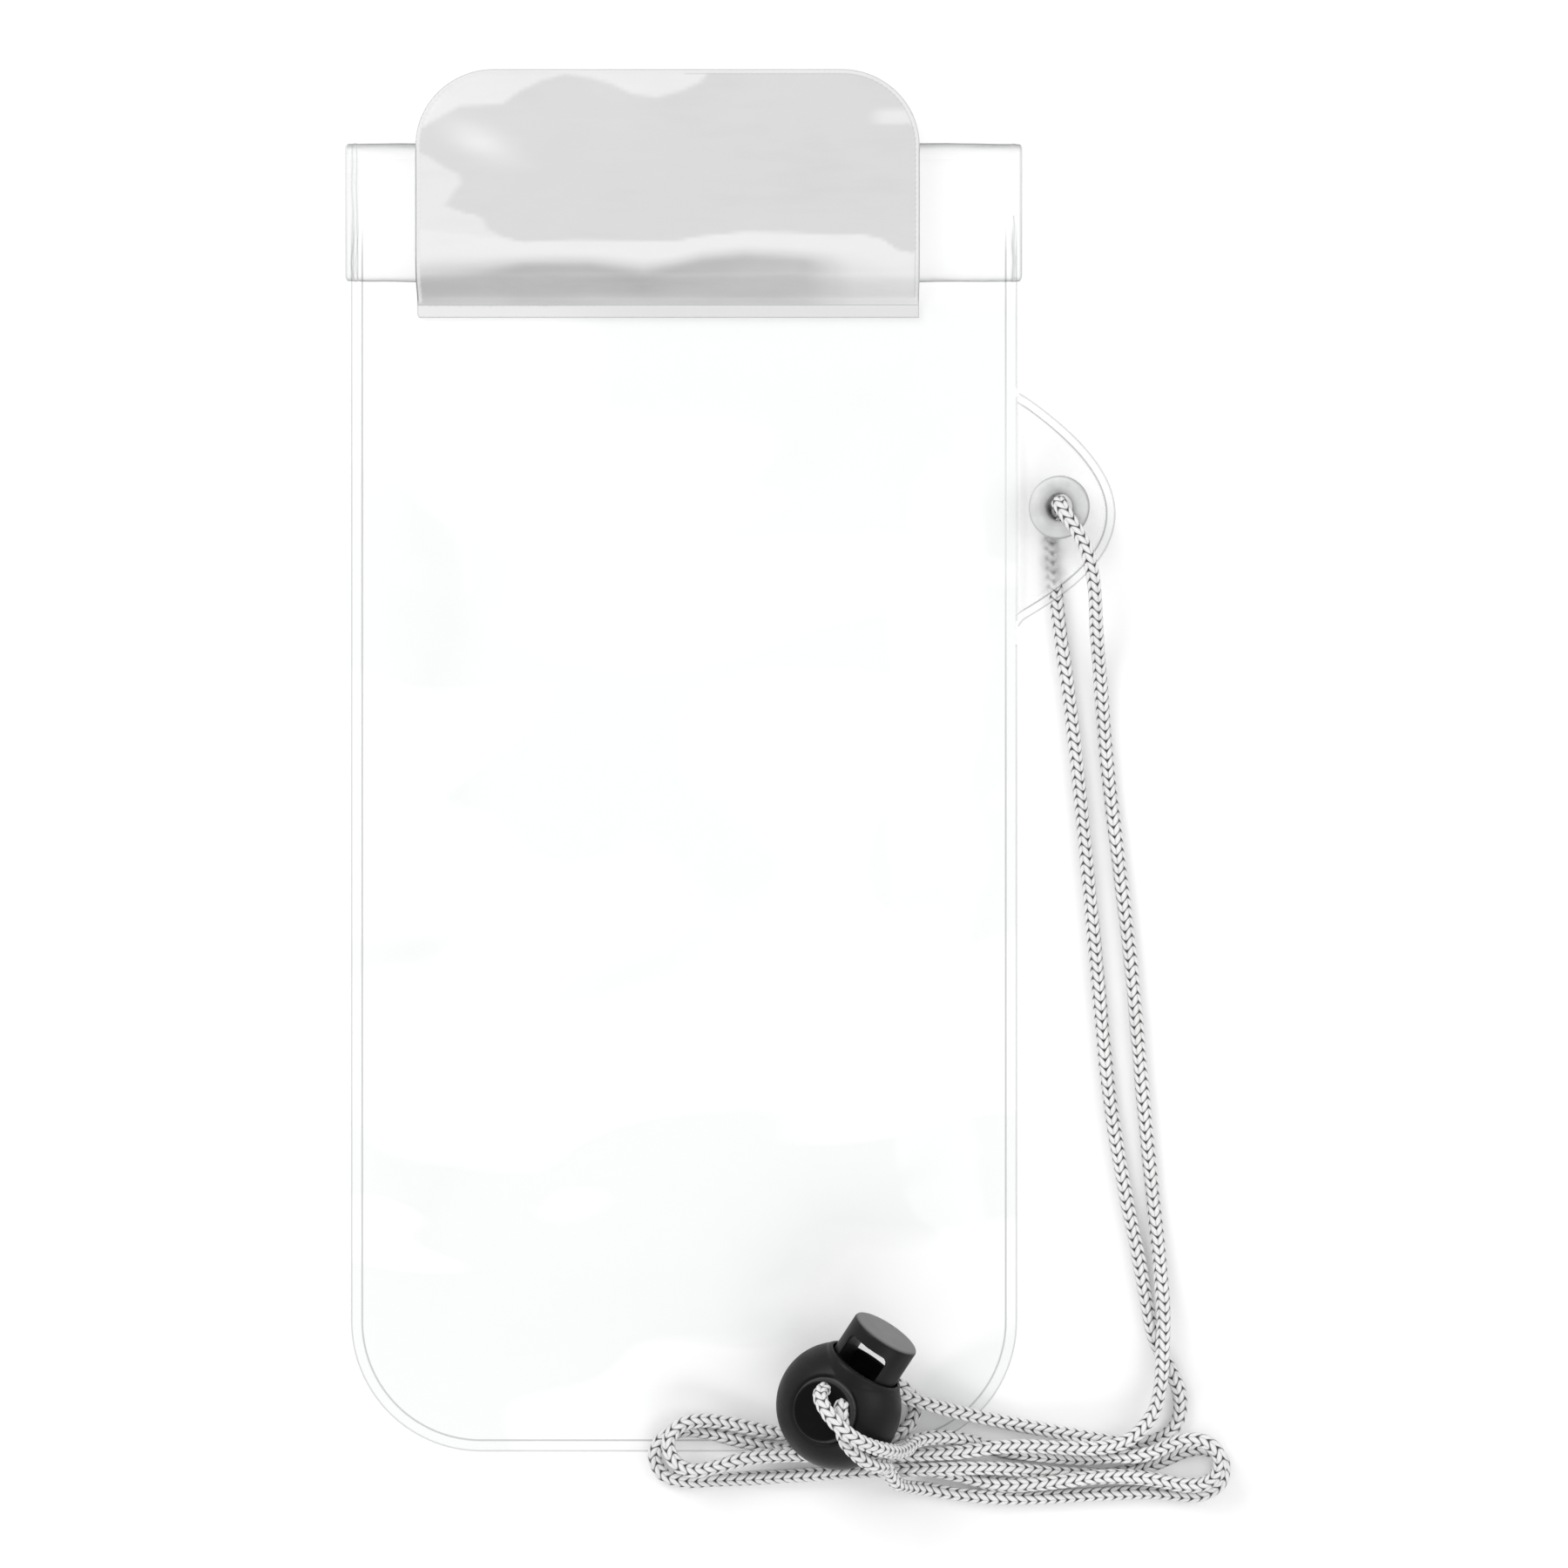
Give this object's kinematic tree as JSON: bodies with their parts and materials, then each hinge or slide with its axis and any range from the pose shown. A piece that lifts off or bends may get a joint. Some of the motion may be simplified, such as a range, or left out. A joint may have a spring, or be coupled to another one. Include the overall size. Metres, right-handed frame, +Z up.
{
  "type": "waterproof phone pouch",
  "caption": "clear welded phone pouch with a rolled mouth held by a closure flap, and a neck cord with a sprung lock, laid flat on its back",
  "frame": {"origin": "middle of the bag's flat back face, half way along its length and on its centreline", "axes": "+Y runs along the bag from its welded bottom edge to its rolled mouth, +Z points up out of its front, +X points to the side with the lanyard tab"},
  "size_m": [0.1472, 0.2356, 0.0273],
  "materials": {
    "clear_film": "clear soft vinyl film, glossy",
    "white_vinyl": "soft white vinyl, glossy",
    "white_tape": "woven hook and loop tape",
    "eyelet_plastic": "milky moulded plastic",
    "grey_cord": "knitted silver-grey polyester cord",
    "black_plastic": "satin black moulded plastic",
    "spring_steel": "bare spring wire"
  },
  "bodies": {
    "pouch": {"back_sheet": "clear_film", "front_sheet": "clear_film", "closure_flap": "white_vinyl", "loop_patch": "white_tape", "hook_patch": "white_tape", "eyelet_front": "eyelet_plastic", "eyelet_washer": "eyelet_plastic", "cord_front_strand": "grey_cord", "cord_back_strand": "grey_cord", "cord_loops": "grey_cord", "cord_lock_strand_left": "grey_cord", "cord_lock_strand_right": "grey_cord", "lock_body": "black_plastic", "lock_spring": "spring_steel"},
    "button": {"lock_button": "black_plastic"}
  },
  "joints": [
    {"name": "button_press", "type": "slide", "parent": "pouch", "child": "button", "axis": [-0.5268, -0.8269, -0.1969], "range_m": [0, 0.004], "stiffness_N_per_m": 300, "springref_m": -0.004, "deforming": ["lock_spring"]}
  ]
}
